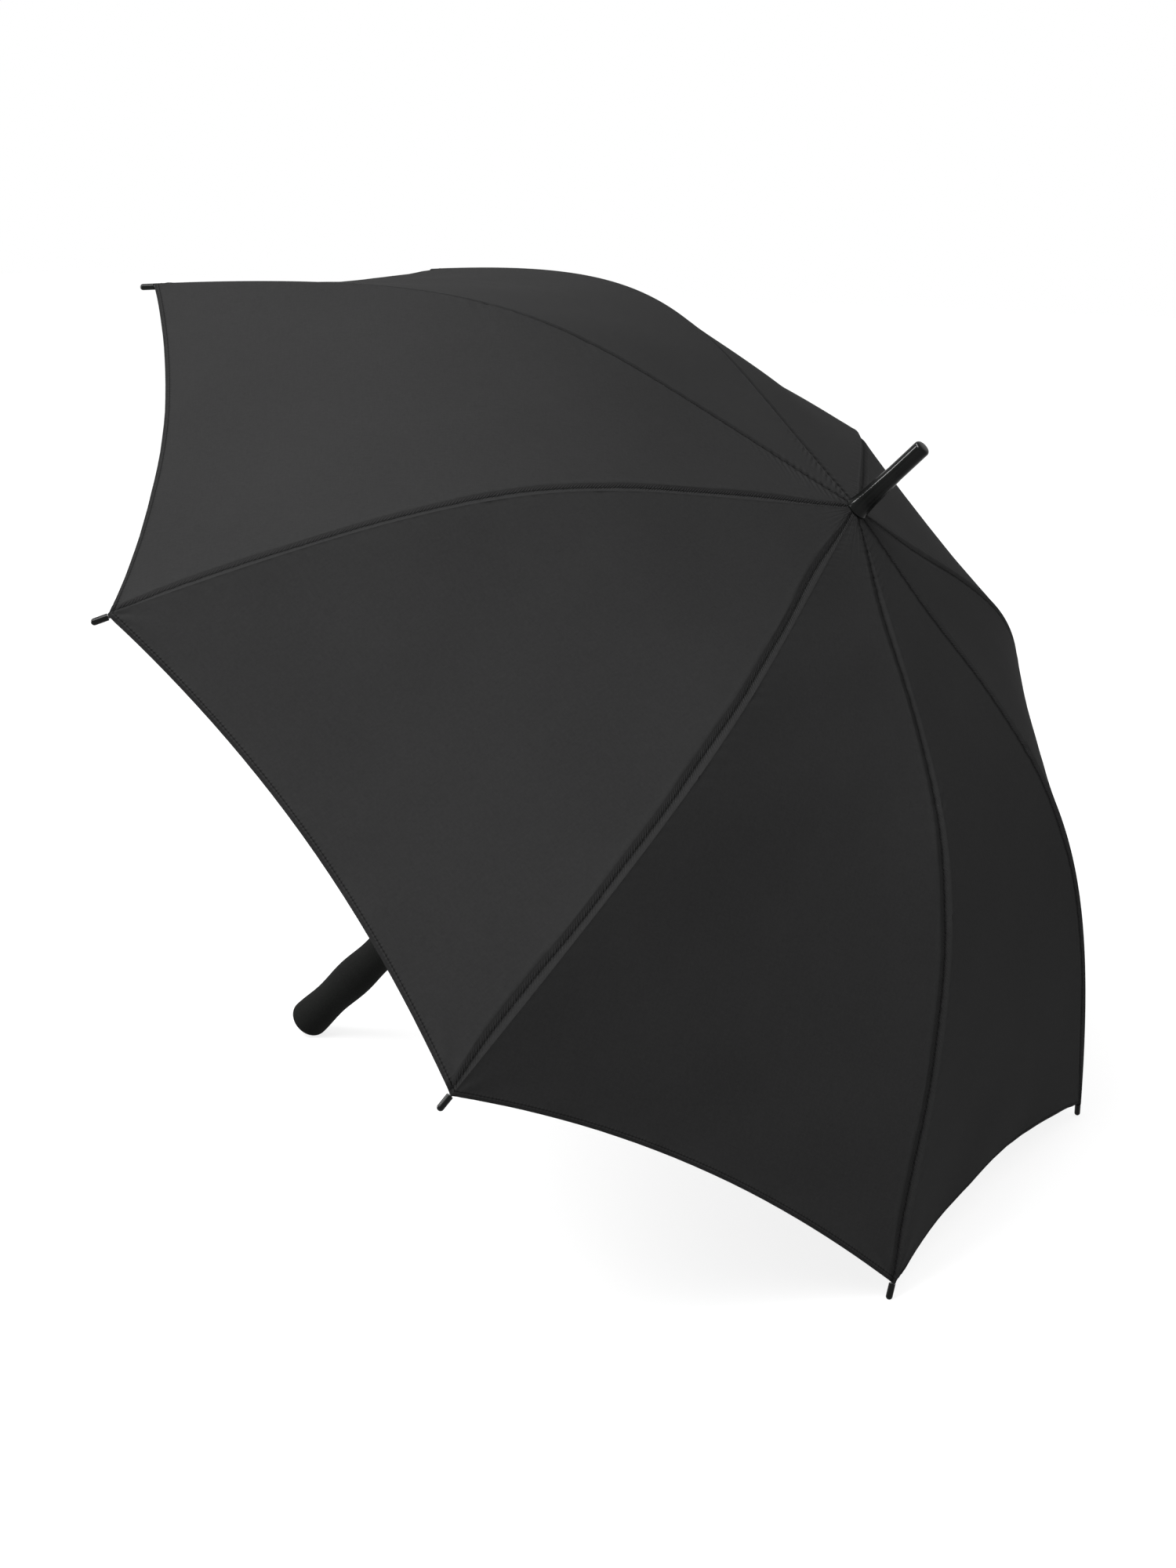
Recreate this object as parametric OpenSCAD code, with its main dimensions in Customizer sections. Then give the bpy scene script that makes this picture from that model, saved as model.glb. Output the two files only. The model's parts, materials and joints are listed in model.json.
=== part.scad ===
// Golf umbrella: a manual stick umbrella with eight ribs, open, lying on two
// of its rib tips and the end of its grip.
//
// Every piece is drawn upright, about the shaft: z runs up the shaft and is
// zero at the crown of the canopy. Ribs are drawn in the xz plane and turned to
// their places. lay() then sets the whole umbrella down on the floor.

/* [Canopy] */
// Radius of the open canopy at its corners
canopy_r = 624; // [580:1:660]
// Height from the canopy's corners up to its crown
canopy_drop = 317.5; // [290:0.5:340]
// Slope of the canopy at the crown, in degrees
crown_slope = 12.3; // [9:0.1:15]
// Slope of the canopy at its corners, in degrees
corner_slope = 47.1; // [42:0.1:50]
// Pull of the crown end on the rib's curve
crown_pull = 310; // [280:1:330]
// Pull of the corner end on the rib's curve
corner_pull = 393; // [360:1:410]
// Thickness of a panel
fabric_t = 0.6; // [0.5:0.1:1]
// How far the hem curves in between two corners, along the panel
hem_scallop = 26; // [10:1:40]
// How far a panel sags between two ribs, at its hem
panel_sag = 7.4; // [0:0.2:12]

/* [Ribs] */
// Diameter of the rib rods
rib_d = 3.5; // [3:0.1:4]
// Place of the joiner on the rib's curve, 0 at the crown and 1 at the corner
joiner_at = 0.4155; // [0.38:0.0005:0.45]
// Place of the rib's bend on its curve
bend_at = 0.5986; // [0.55:0.0002:0.65]
// Diameter of the rib tips
tip_d = 6; // [5:0.1:7]
// Length of the rib tips past the canopy's corners
tip_len = 15; // [12:0.5:18]

/* [Stretchers] */
// Length of a stretcher between its two pins
stretcher_len = 350; // [340:1:355]
// Diameter of a stretcher
stretcher_d = 3.5; // [3:0.1:3.6]
// Distance from a rib's centre line to the stretcher's pin
pin_drop = 6; // [5.8:0.1:7]

/* [Shaft] */
// Outer diameter of the shaft
shaft_d = 14; // [13:0.5:14]
// Wall of the shaft tube
shaft_wall = 1.1; // [0.9:0.1:1.2]
// Distance from the crown down to the end of the grip
crown_to_grip_end = 915; // [910:1:940]

/* [Grip] */
// Length of the foam grip
grip_len = 180; // [170:1:182]
// Mean diameter of the foam grip
grip_d = 41.4; // [38:0.2:44]
// Depth of the waves along the grip, from mean to peak
grip_wave = 1.05; // [0:0.05:1.5]
// Length of one wave along the grip
grip_wave_len = 89; // [60:1:120]

/* [Ferrule] */
// Length of the ferrule
ferrule_len = 89.4; // [80:0.2:100]
// Diameter of the ferrule's straight end
ferrule_d = 16; // [15.6:0.1:17]
// Diameter of the ferrule's flared base
ferrule_base_d = 23; // [21:0.5:24]

/* [Runner] */
// Outer diameter of the runner's sleeve
runner_d = 24; // [23:0.5:26]
// Outer diameter of the runner's crown
runner_crown_d = 36; // [35:0.5:38]
// Length of the runner below the stretchers' pins
runner_drop = 54; // [45:1:60]
// Radius of the stretchers' pin circle on the runner
runner_pin_r = 15.5; // [15.3:0.1:16]
// How far a catch stands out of the shaft
catch_out = 3.2; // [2.8:0.1:3.4]

/* [Hidden] */
$fn = 48;
rib_count = 8;
rib_step = 360 / rib_count;
half_step = rib_step / 2;
// The umbrella lies on the corners at -half_step and +half_step
first_rib_angle = -180 + half_step;
ribs = [for (k = [1 : rib_count]) k];

// Clearances between pieces that move past each other
gap = 0.4;
running_gap = 0.07;
rod_gap = 0.8;

// The canopy's outline along a rib, as a Bezier curve of [radius, height]
crown_hole_r = 8.3;
outline = [
    [crown_hole_r, 0],
    [crown_hole_r + crown_pull * cos(crown_slope), -crown_pull * sin(crown_slope)],
    [canopy_r - corner_pull * cos(corner_slope),
        -canopy_drop + corner_pull * sin(corner_slope)],
    [canopy_r, -canopy_drop]
];

function curve(t) =
    pow(1 - t, 3) * outline[0] + 3 * t * pow(1 - t, 2) * outline[1]
    + 3 * t * t * (1 - t) * outline[2] + pow(t, 3) * outline[3];
function along(t) =
    let (d = pow(1 - t, 2) * (outline[1] - outline[0])
        + 2 * t * (1 - t) * (outline[2] - outline[1])
        + t * t * (outline[3] - outline[2]))
    d / norm(d);
// The direction square to the canopy, into its hollow
function inward(t) = [along(t)[1], -along(t)[0]];

// Rods run under the canopy at a constant depth
rod_r = rib_d / 2;
rod_depth = fabric_t + rod_gap + rod_r;
function rod(t) = curve(t) + rod_depth * inward(t);

// Rib hinge in the top notch
eye_t = 2.4;
eye_bore_r = 0.85;
eye_reach = 3;
notch_at = eye_reach / (3 * crown_pull);
notch_pin = rod(notch_at);
rod_start_at = 4 * notch_at;

// Stretcher pins
strut_eye_r = 2.2;
joiner_pin = rod(joiner_at) + pin_drop * inward(joiner_at);
runner_pin = [
    runner_pin_r,
    joiner_pin[1] - sqrt(pow(stretcher_len, 2) - pow(joiner_pin[0] - runner_pin_r, 2))
];

// The folded umbrella: the rib's bend comes this near the shaft's axis
folded_bend_r = 36;
// Angle below level of the line from the notch pin to a point of the rib
function droop(p) = atan2(notch_pin[1] - p[1], p[0] - notch_pin[0]);
bend_pin = rod(bend_at);
rib_turn = acos((folded_bend_r - notch_pin[0]) / norm(bend_pin - notch_pin)) - droop(bend_pin);
joiner_arm = norm(joiner_pin - notch_pin);
folded_droop = droop(joiner_pin) + rib_turn;
folded_joiner = notch_pin + joiner_arm * [cos(folded_droop), -sin(folded_droop)];
folded_runner_z = folded_joiner[1]
    - sqrt(pow(stretcher_len, 2) - pow(folded_joiner[0] - runner_pin_r, 2));
runner_travel = runner_pin[1] - folded_runner_z;

// Shaft
shaft_r = shaft_d / 2;
shaft_bore_r = shaft_r - shaft_wall;
shaft_top = 22;
shaft_bottom = -crown_to_grip_end + 15;

// Grip
grip_fillet = 10;
grip_dome = 1;
grip_core_r = 11;
grip_peak_at = 9;

// Notch and runner
slot_w = eye_t + 2 * gap;
wire_r = 0.5;
notch_top = -2.8;
notch_h = 9;
notch_r = 13.5;
notch_hub_r = notch_pin[0] - rod_r - gap;
crown_h = 10;
crown_top = runner_pin[1] + crown_h / 2;
runner_bottom = runner_pin[1] - runner_drop;
runner_wire_r = runner_pin_r - strut_eye_r - gap - wire_r;
runner_hub_r = runner_wire_r - wire_r - 0.1;
keyway_w = 3.6;
keyway_r = shaft_r + catch_out + gap;

// Catches
catch_t = 2.6;
catch_slot_w = 3.2;
catch_lip = 2;
catch_ramp = 11;
catch_leaf = 14;
top_catch_at = runner_bottom - gap;
bottom_catch_at = crown_top + gap - runner_travel;
stop_pin_r = 1;
stop_pin_at = crown_top + gap + stop_pin_r;

// Resting on the floor: the tangent to the rib tip's round end and the fillet
// round the grip's end sets the shaft's tilt
tip_r = tip_d / 2;
tip_end = rod(1) + (tip_len - tip_r) * along(1);
grip_end_r = grip_d / 2 + grip_wave;
floor_run = tip_end[0] * cos(half_step) - (grip_end_r - grip_fillet);
floor_rise = tip_end[1] + crown_to_grip_end - grip_dome - grip_fillet;
tilt = atan2(floor_run, floor_rise)
    - asin((grip_fillet - tip_r) / norm([floor_run, floor_rise]));
crown_height = tip_end[0] * cos(half_step) * cos(tilt) - tip_end[1] * sin(tilt) + tip_r;
grip_reach = (crown_to_grip_end - grip_dome - grip_fillet) * cos(tilt)
    + (grip_end_r - grip_fillet) * sin(tilt) + grip_fillet;
tip_reach = tip_end[0] * cos(half_step) * sin(tilt) + tip_end[1] * cos(tilt) + tip_r;
crown_x = (grip_reach - tip_reach) / 2;

// Sets the upright umbrella down on the floor
module lay() {
    translate([crown_x, 0, crown_height])
        rotate([0, 90 - tilt, 0])
            children();
}

// Turns a piece drawn in the xz plane to rib k
module at_rib(k) {
    rotate([0, 0, first_rib_angle + (k - 1) * rib_step])
        children();
}

// Turns a piece to every rib
module at_ribs() {
    for (k = ribs) at_rib(k) children();
}

// Places a piece at a point of the rib's rod, its x axis along the rod and its
// z axis square to the canopy, outward
module on_rod(t) {
    translate([rod(t)[0], 0, rod(t)[1]])
        rotate([0, -atan2(along(t)[1], along(t)[0]), 0])
            children();
}

// A cylinder across the rib's plane, centred on it
module cross_pin(r, w) {
    rotate([90, 0, 0])
        cylinder(r = r, h = w, center = true);
}

// A round tube between two heights
module tube(r_out, r_in, low, high) {
    difference() {
        translate([0, 0, low])
            cylinder(r = r_out, h = high - low);
        translate([0, 0, low - 1])
            cylinder(r = r_in, h = high - low + 2);
    }
}

// A wire ring
module wire_ring(ring_r, height) {
    translate([0, 0, height])
        rotate_extrude()
            translate([ring_r, 0])
                circle(r = wire_r, $fn = 24);
}

// A rod that follows the rib's curve, from t0 to t1
module curved_rod(t0, t1, rings) {
    sides = 8;
    points = [
        for (i = [0 : rings])
            let (t = t0 + (t1 - t0) * i / rings, c = rod(t), n = inward(t))
            for (j = [0 : sides - 1])
                let (a = 360 * (j + 0.5) / sides)
                [c[0] + rod_r * cos(a) * n[0], rod_r * sin(a), c[1] + rod_r * cos(a) * n[1]]
    ];
    walls = [
        for (i = [0 : rings - 1])
            for (j = [0 : sides - 1])
                let (a = i * sides + j, b = i * sides + (j + 1) % sides)
                for (face = [[a, a + sides, b], [b, a + sides, b + sides]]) face
    ];
    first_end = [for (j = [0 : sides - 1]) j];
    last_end = [for (j = [sides - 1 : -1 : 0]) rings * sides + j];
    polyhedron(points, concat(walls, [first_end, last_end]));
}

// ---------------------------------------------------------------- Shaft group

module shaft() {
    color([0.16, 0.16, 0.17])
        difference() {
            tube(shaft_r, shaft_bore_r, shaft_bottom, shaft_top);
            catch_window(top_catch_at, 1);
            catch_window(bottom_catch_at, -1);
            translate([0, 0, stop_pin_at])
                cross_pin(stop_pin_r, shaft_d + 2);
        }
}

// A slot in the shaft for a catch. way is 1 for the catch whose ramp runs down
module catch_window(height, way) {
    length = catch_lip + catch_ramp + 2 * gap;
    translate([-shaft_r, 0, height + way * (gap - length / 2)])
        cube([shaft_r, catch_slot_w, length], center = true);
}

module ferrule() {
    low = 0.3;
    rim = 1.2;
    flare_h = 52;
    taper = 2;
    end_r = 3.5;
    base_r = ferrule_base_d / 2;
    straight_r = ferrule_d / 2;
    // A long taper, with a short flare at the base
    flare = [
        for (i = [0 : 12])
            let (s = pow(i / 12, 1.5), lip = base_r - straight_r - taper)
            [straight_r + taper * (1 - s) + lip * pow(1 - s, 8), rim + (flare_h - rim) * s]
    ];
    round_end = [
        for (a = [0 : 15 : 90])
            [straight_r - end_r + end_r * cos(a), ferrule_len - end_r + end_r * sin(a)]
    ];
    color([0.02, 0.02, 0.02])
        rotate_extrude()
            polygon(concat(
                [[shaft_r + 0.02, low], [base_r - 0.6, low]],
                flare,
                round_end,
                [[0, ferrule_len + 0.2], [0, shaft_top + 0.5], [shaft_r + 0.02, shaft_top + 0.5]]
            ));
}

module top_notch() {
    groove_r = wire_r + 0.1;
    color([0.05, 0.05, 0.05])
        difference() {
            tube(notch_r, shaft_r + 0.02, notch_top - notch_h, notch_top);
            tube(notch_pin[0] + groove_r, notch_pin[0] - groove_r,
                notch_pin[1] - groove_r, notch_top + 1);
            at_ribs()
                translate([notch_hub_r, -slot_w / 2, notch_top - notch_h - 1])
                    cube([notch_r, slot_w, notch_h + 2]);
        }
}

module notch_wire() {
    color([0.6, 0.6, 0.62])
        wire_ring(notch_pin[0], notch_pin[1]);
}

module stop_pin() {
    color([0.6, 0.6, 0.62])
        translate([0, 0, stop_pin_at])
            cross_pin(stop_pin_r - 0.02, shaft_d + 4);
}

// Radius of the grip at a distance from its end
function grip_r(s) =
    grip_d / 2 + grip_wave * cos(360 * (s - grip_peak_at) / grip_wave_len);

module grip() {
    end_fillet = [
        for (a = [-90 : 15 : 0])
            [grip_end_r - grip_fillet + grip_fillet * cos(a),
                grip_dome + grip_fillet + grip_fillet * sin(a)]
    ];
    waves = [for (s = [16 : 8 : grip_len - 6]) [grip_r(s), s]];
    color([0.06, 0.06, 0.06])
        translate([0, 0, -crown_to_grip_end])
            rotate_extrude()
                polygon(concat(
                    [[0, 0]],
                    end_fillet,
                    waves,
                    [[grip_r(grip_len) - 4, grip_len], [grip_core_r + 0.02, grip_len],
                        [grip_core_r + 0.02, 10], [0, 10]]
                ));
}

module grip_core() {
    low = -crown_to_grip_end + 10.1;
    floor_t = 4.8;
    color([0.1, 0.1, 0.1])
        difference() {
            translate([0, 0, low])
                cylinder(r = grip_core_r, h = grip_len - 14);
            translate([0, 0, low + floor_t])
                cylinder(r = shaft_r + 0.02, h = grip_len);
        }
}

// ---------------------------------------------------------------- Catches

// A spring catch seen from the side: the leaf inside the shaft, and the nose
// with its square face at zero and its ramp running down
module catch_shape() {
    nose_r = shaft_r + catch_out;
    leaf_r = shaft_bore_r - 0.5;
    heel_r = 2;
    ramp_end = -catch_lip - catch_ramp;
    polygon([
        [heel_r, 0], [nose_r, 0], [nose_r, -catch_lip], [shaft_r - 0.6, ramp_end],
        [leaf_r, ramp_end], [leaf_r, ramp_end - catch_leaf], [heel_r, ramp_end - catch_leaf]
    ]);
}

// A catch on the side of the shaft that faces up when the umbrella lies down
module catch() {
    color([0.6, 0.6, 0.62])
        rotate([90, 0, 180])
            linear_extrude(catch_t, center = true)
                catch_shape();
}

// Holds the runner up when the umbrella is open
module top_catch() {
    translate([0, 0, top_catch_at])
        catch();
}

// Holds the runner down when the umbrella is folded
module bottom_catch() {
    translate([0, 0, bottom_catch_at])
        mirror([0, 0, 1])
            catch();
}

// ---------------------------------------------------------------- Runner group

module runner() {
    finger_h = 5;
    bore_r = shaft_r + running_gap;
    groove_r = wire_r + 0.1;
    runner_slot_w = stretcher_d + 2 * gap;
    color([0.05, 0.05, 0.05])
        difference() {
            union() {
                tube(runner_d / 2, bore_r, runner_bottom, crown_top);
                tube(runner_crown_d / 2, bore_r, crown_top - crown_h, crown_top);
                tube(runner_d / 2 + 4, bore_r, runner_bottom, runner_bottom + finger_h);
            }
            tube(runner_wire_r + groove_r, runner_wire_r - groove_r,
                runner_pin[1] - groove_r, crown_top + 1);
            at_ribs()
                translate([runner_hub_r, -runner_slot_w / 2, crown_top - crown_h - 1])
                    cube([runner_crown_d, runner_slot_w, crown_h + 2]);
            translate([-keyway_r, -keyway_w / 2, runner_bottom - 1])
                cube([keyway_r, keyway_w, crown_top - runner_bottom + 2]);
        }
}

module runner_wire() {
    color([0.6, 0.6, 0.62])
        wire_ring(runner_wire_r, runner_pin[1]);
}

// ---------------------------------------------------------------- Ribs

// Inner length of a rib, from its eye in the notch to the bend
module rib(k) {
    eye_tab = 9;
    butt = (rod_r + gap) / norm(rod(bend_at + 0.01) - rod(bend_at)) * 0.01;
    color([0.1, 0.1, 0.1])
        at_rib(k) {
            difference() {
                union() {
                    on_rod(notch_at) {
                        cross_pin(rod_r, eye_t);
                        translate([eye_tab / 2, 0, 0])
                            cube([eye_tab, eye_t, 2 * rod_r - 0.4], center = true);
                    }
                    curved_rod(rod_start_at, bend_at - butt, 12);
                }
                on_rod(notch_at)
                    cross_pin(eye_bore_r, eye_t + 1);
            }
        }
}

// Outer length of a rib, from the bend into the rib tip
module rib_end(k) {
    in_tip = 9;
    color([0.1, 0.1, 0.1])
        at_rib(k) {
            on_rod(bend_at)
                cross_pin(rod_r, 2 * rod_r * 0.9);
            curved_rod(bend_at, 1, 14);
            on_rod(1)
                rotate([0, 90, 0])
                    cylinder(r = rod_r * 0.92, h = in_tip);
        }
}

// The cap on a rib's end
module rib_tip(k) {
    bore = 9.5;
    color([0.02, 0.02, 0.02])
        at_rib(k)
            on_rod(1)
                difference() {
                    union() {
                        translate([gap, 0, 0])
                            rotate([0, 90, 0])
                                cylinder(r = tip_r, h = tip_len - tip_r - gap);
                        translate([tip_len - tip_r, 0, 0])
                            sphere(r = tip_r);
                    }
                    translate([-1, 0, 0])
                        rotate([0, 90, 0])
                            cylinder(r = rod_r, h = bore + 1);
                }
}

// The clip on a rib that holds a stretcher's pin between its two ears
module joiner(k) {
    clip_len = 16;
    clip_r = 3.4;
    ear_t = 1.2;
    ear_len = 6;
    pin_r = 1;
    ear_y = eye_t / 2 + 0.3;
    fabric_clear = 1.3;
    color([0.05, 0.05, 0.05])
        at_rib(k)
            on_rod(joiner_at) {
                difference() {
                    rotate([0, 90, 0])
                        cylinder(r = clip_r, h = clip_len, center = true);
                    rotate([0, 90, 0])
                        cylinder(r = rod_r + 0.12, h = clip_len + 2, center = true);
                    translate([0, 0, clip_r + fabric_clear])
                        cube([clip_len + 2, 3 * clip_r, 2 * clip_r], center = true);
                }
                for (side = [-1, 1])
                    translate([0, side * (ear_y + ear_t / 2), 0]) {
                        translate([0, 0, -pin_drop])
                            cross_pin(ear_len / 2, ear_t);
                        translate([-ear_len / 2, -ear_t / 2, -pin_drop])
                            cube([ear_len, ear_t, pin_drop - 2.4]);
                    }
                translate([0, 0, -pin_drop])
                    cross_pin(pin_r, 2 * (ear_y + ear_t));
            }
}

// ---------------------------------------------------------------- Stretchers

// A strut from the joiner's pin to the runner
module stretcher(k) {
    run = runner_pin - joiner_pin;
    tab = 8;
    eye_bore = 1.25;
    color([0.1, 0.1, 0.1])
        at_rib(k)
            translate([joiner_pin[0], 0, joiner_pin[1]])
                rotate([0, -atan2(run[1], run[0]), 0])
                    difference() {
                        union() {
                            for (x = [0, stretcher_len])
                                translate([x, 0, 0])
                                    cross_pin(strut_eye_r, eye_t);
                            for (x = [0, stretcher_len - tab])
                                translate([x, -eye_t / 2, -stretcher_d / 2 + 0.2])
                                    cube([tab, eye_t, stretcher_d - 0.4]);
                            translate([tab - 2, 0, 0])
                                rotate([0, 90, 0])
                                    cylinder(d = stretcher_d, h = stretcher_len - 2 * tab + 4);
                        }
                        cross_pin(eye_bore, eye_t + 1);
                    }
}

// ---------------------------------------------------------------- Canopy

// One panel, from rib k to the next, a thin curved sheet with a scalloped hem
module canopy_panel(k) {
    rows = 22;
    columns = 8;
    edge_gap = 0.25;
    // hem_scallop as a share of the curve near its end
    scallop = hem_scallop / (3 * corner_pull);
    points = [
        for (skin = [0, 1])
            for (i = [0 : rows])
                for (j = [0 : columns])
                    let (
                        v = 2 * j / columns - 1,
                        t = i / rows * (1 - scallop * (1 - v * v)),
                        p = curve(t),
                        n = inward(t),
                        sag = panel_sag * t * (1 - v * v) + skin * fabric_t,
                        edge = edge_gap + skin * fabric_t / 2
                    )
                    [
                        p[0] * cos(half_step) + sag * n[0],
                        v * (p[0] * sin(half_step) - edge),
                        p[1] + sag * n[1]
                    ]
    ];
    width = columns + 1;
    skin_size = width * (rows + 1);
    // The two triangles between four corners
    function pair(a, b, c, d) = [[a, c, b], [a, d, c]];
    outer = [
        for (i = [0 : rows - 1])
            for (j = [0 : columns - 1])
                let (a = i * width + j)
                for (face = pair(a, a + width, a + width + 1, a + 1)) face
    ];
    inner = [
        for (i = [0 : rows - 1])
            for (j = [0 : columns - 1])
                let (a = skin_size + i * width + j)
                for (face = pair(a, a + 1, a + width + 1, a + width)) face
    ];
    crown_rim = [
        for (j = [0 : columns - 1])
            for (face = pair(j, j + 1, j + 1 + skin_size, j + skin_size)) face
    ];
    hem_rim = [
        for (j = [rows * width : rows * width + columns - 1])
            for (face = pair(j + 1, j, j + skin_size, j + 1 + skin_size)) face
    ];
    first_rim = [
        for (i = [0 : width : (rows - 1) * width])
            for (face = pair(i + width, i, i + skin_size, i + width + skin_size)) face
    ];
    last_rim = [
        for (i = [columns : width : columns + (rows - 1) * width])
            for (face = pair(i, i + width, i + width + skin_size, i + skin_size)) face
    ];
    color([0.13, 0.13, 0.135])
        rotate([0, 0, first_rib_angle + (k - 0.5) * rib_step])
            polyhedron(points, concat(outer, inner, crown_rim, hem_rim, first_rim, last_rim));
}

// ---------------------------------------------------------------- Nodes

lay() shaft();
lay() ferrule();
lay() top_notch();
lay() notch_wire();
lay() stop_pin();
lay() grip();
lay() grip_core();
lay() top_catch();
lay() bottom_catch();
lay() runner();
lay() runner_wire();
for (k = ribs) {
    lay() rib(k);
    lay() rib_end(k);
    lay() rib_tip(k);
    lay() joiner(k);
    lay() stretcher(k);
    lay() canopy_panel(k);
}
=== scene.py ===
# The looks of an eight-rib golf umbrella, open and lying on two rib tips and its grip.
# Lengths in the shape code are millimetres in the umbrella's own frame: z runs up the
# shaft and is 0 at the crown. to_row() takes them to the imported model's frame in metres.
import json
import math

import bpy
import numpy as np
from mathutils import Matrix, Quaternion, Vector


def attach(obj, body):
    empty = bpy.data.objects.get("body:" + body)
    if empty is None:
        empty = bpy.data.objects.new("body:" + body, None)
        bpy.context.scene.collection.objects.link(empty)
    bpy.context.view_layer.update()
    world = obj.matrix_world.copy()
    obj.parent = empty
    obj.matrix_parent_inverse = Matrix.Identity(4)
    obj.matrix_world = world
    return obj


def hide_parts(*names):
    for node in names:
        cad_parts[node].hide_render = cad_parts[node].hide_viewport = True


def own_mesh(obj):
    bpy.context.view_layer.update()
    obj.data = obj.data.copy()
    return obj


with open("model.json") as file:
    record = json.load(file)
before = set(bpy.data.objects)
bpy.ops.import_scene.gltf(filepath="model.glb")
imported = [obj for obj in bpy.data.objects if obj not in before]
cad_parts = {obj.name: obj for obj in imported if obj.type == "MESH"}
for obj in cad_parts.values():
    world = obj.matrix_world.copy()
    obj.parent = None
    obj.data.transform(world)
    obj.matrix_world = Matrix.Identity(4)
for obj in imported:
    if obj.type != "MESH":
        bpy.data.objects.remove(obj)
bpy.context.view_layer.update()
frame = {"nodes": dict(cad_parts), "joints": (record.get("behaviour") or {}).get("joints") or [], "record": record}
scene = bpy.context.scene

# ------------------------------------------------------------------ camera

cam_data = bpy.data.cameras.new("camera")
cam = bpy.data.objects.new("camera", cam_data)
scene.collection.objects.link(cam)
CAMERA_PLACE, CAMERA_TARGET = (1.1301, -1.9564, 0.9506), (-0.01995, -0.03205, 0.35499)
CAMERA_ROLL = math.radians(0.637)
cam_data.sensor_width = 36
cam_data.lens = 53.178
cam_data.clip_end = 60
cam.location = CAMERA_PLACE
aim = Vector(CAMERA_TARGET) - cam.location
cam.rotation_mode = "QUATERNION"
cam.rotation_quaternion = aim.to_track_quat("-Z", "Y") @ Quaternion((0, 0, 1), CAMERA_ROLL)
scene.camera = cam

# ------------------------------------------------------------------ the umbrella's frame

joints = {j["name"]: j for j in frame["joints"]}
ferrule_mount = next(m for m in frame["record"]["mounts"] if m["name"] == "ferrule")
UP = -np.array(joints["runner_slide"]["axis"])
LEAN = np.array([UP[2], 0.0, -UP[0]])
SIDE = np.array([0.0, 1.0, 0.0])
MOUNT_HEIGHT = 0.06895                       # of the ferrule's mount over the crown
CROWN = np.array(ferrule_mount["pos_m"]) - UP * MOUNT_HEIGHT


def to_row(p):
    """Points in millimetres in the umbrella's frame, as points in metres in the row frame."""
    p = np.asarray(p, float)
    return CROWN + (p[..., :1] * LEAN + p[..., 1:2] * SIDE + p[..., 2:3] * UP) / 1000


def turn_to_row(d):
    """The same for directions."""
    d = np.asarray(d, float)
    return d[..., :1] * LEAN + d[..., 1:2] * SIDE + d[..., 2:3] * UP


# ------------------------------------------------------------------ the canopy's curve

CANOPY_R, CANOPY_DROP = 624.0, 317.5
CROWN_SLOPE, CORNER_SLOPE = math.radians(12.3), math.radians(47.1)
CROWN_PULL, CORNER_PULL = 310.0, 393.0
CROWN_R = 8.3
HEM_SCALLOP, PANEL_SAG = 26.0, 7.4
BEND_AT, JOINER_AT = 0.5986, 0.4155
HALF = math.radians(22.5)
FIRST_RIB = math.radians(-157.5)
CONTROL = np.array([
    [CROWN_R, 0.0],
    [CROWN_R + CROWN_PULL * math.cos(CROWN_SLOPE), -CROWN_PULL * math.sin(CROWN_SLOPE)],
    [CANOPY_R - CORNER_PULL * math.cos(CORNER_SLOPE),
     -CANOPY_DROP + CORNER_PULL * math.sin(CORNER_SLOPE)],
    [CANOPY_R, -CANOPY_DROP],
])
SCALLOP = HEM_SCALLOP / (3 * CORNER_PULL)


def curve(t):
    """[radius, height] of a rib's line at t, from 0 at the crown to 1 at the corner."""
    t = np.asarray(t, float)[..., None]
    return ((1 - t) ** 3 * CONTROL[0] + 3 * t * (1 - t) ** 2 * CONTROL[1]
            + 3 * t * t * (1 - t) * CONTROL[2] + t ** 3 * CONTROL[3])


def along(t):
    """Direction of the same line, outward and down."""
    t = np.asarray(t, float)[..., None]
    d = ((1 - t) ** 2 * (CONTROL[1] - CONTROL[0]) + 2 * t * (1 - t) * (CONTROL[2] - CONTROL[1])
         + t * t * (CONTROL[3] - CONTROL[2]))
    return d / np.linalg.norm(d, axis=-1, keepdims=True)


_ts = np.linspace(0, 1.02, 4001)
_arc = np.concatenate([[0], np.cumsum(np.linalg.norm(np.diff(curve(_ts), axis=0), axis=1))])
RIB_ARC = float(np.interp(1.0, _ts, _arc))


def arc_at(t):
    return np.interp(t, _ts, _arc)


def t_at(arc):
    return np.interp(arc, _arc, _ts)


def half_width(t):
    """Half the width of a panel at t."""
    return curve(t)[..., 0] * math.sin(HALF)


def smooth(a, b, x):
    """0 where x is at a and 1 where it is at b, with a soft start and end."""
    x = np.clip((x - a) / (b - a), 0, 1)
    return x * x * (3 - 2 * x)


def waves(x, y, seed, count, short, long, stretch=1.0):
    """A smooth field of sine waves of many directions, from -1 to 1 or so."""
    rng = np.random.default_rng(seed)
    total = np.zeros(np.broadcast(x, y).shape)
    for _ in range(count):
        length = math.exp(rng.uniform(math.log(short), math.log(long)))
        heading, phase = rng.uniform(0, math.pi), rng.uniform(0, 2 * math.pi)
        total = total + np.sin(2 * math.pi / length
                               * (x * math.cos(heading) + y * math.sin(heading) / stretch) + phase)
    return total / math.sqrt(count)


def hem_arc(v):
    """Arc length at the hem of a panel, across it from v = -1 to 1."""
    return arc_at(1 - SCALLOP * (1 - v * v))


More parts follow.
